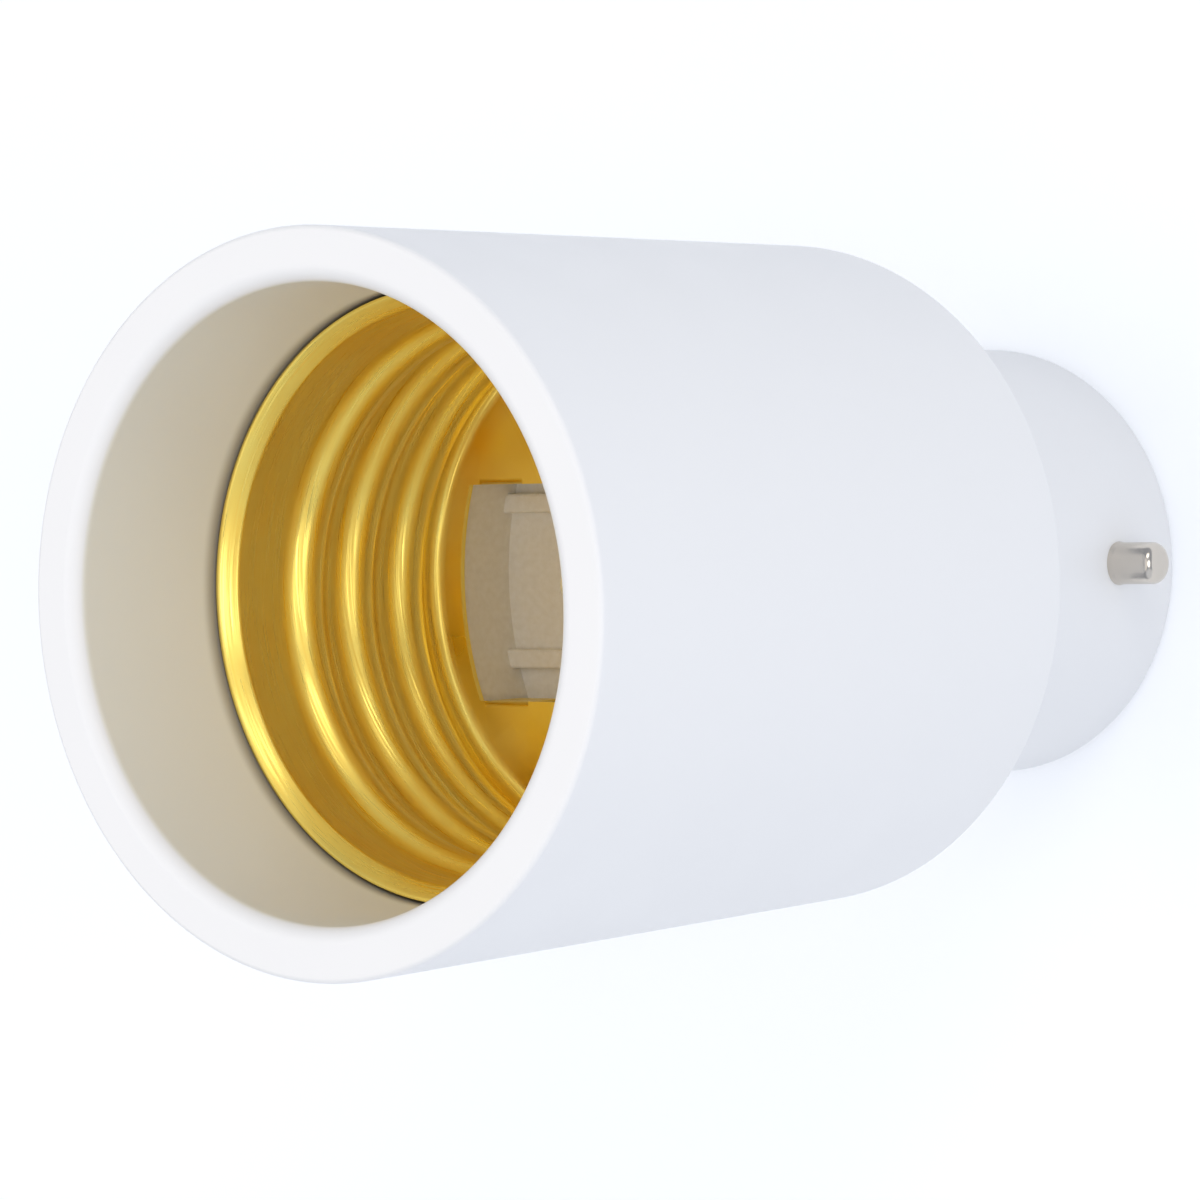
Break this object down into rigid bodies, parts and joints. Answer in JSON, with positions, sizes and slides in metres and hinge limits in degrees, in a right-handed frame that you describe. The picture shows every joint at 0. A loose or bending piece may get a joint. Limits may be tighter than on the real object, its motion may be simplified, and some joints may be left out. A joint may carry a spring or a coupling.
{
  "type": "lamp socket adapter",
  "caption": "Moulded lamp socket adapter: a bayonet cap at one end and a brass screw shell with a sprung centre contact in the mouth of the other.",
  "frame": {"origin": "centre of the bayonet cap's end face, which the adapter stands on", "axes": "+Z along the axis to the mouth of the screw socket, +X through a bayonet pin, +Y through an end contact"},
  "size_m": [0.0334, 0.0334, 0.0538],
  "materials": {
    "housing": "satin moulded",
    "carrier": "matt moulded",
    "shell": "bright rolled",
    "leaf": "nickel plated",
    "button": "bright turned",
    "screw": "zinc plated",
    "pin": "satin nickel",
    "end_contact": "bright turned",
    "lead": "flexible insulation"
  },
  "bodies": {
    "adapter": {"housing": "housing", "contact_carrier": "carrier", "screw_shell": "shell", "contact_leaf": "leaf", "leaf_rivet": "button", "fixing_screw_back": "screw", "fixing_screw_front": "screw", "bayonet_pin_right": "pin", "bayonet_pin_left": "pin", "end_contact_back": "end_contact", "end_contact_front": "end_contact", "centre_lead": "lead", "shell_lead": "lead"},
    "contact": {"contact_button": "button"}
  },
  "joints": [
    {"name": "contact_press", "type": "slide", "parent": "adapter", "child": "contact", "axis": [0, 0, 1], "range_m": [-0.0015, 0], "stiffness_N_per_m": 3000, "deforming": ["contact_leaf"]}
  ]
}
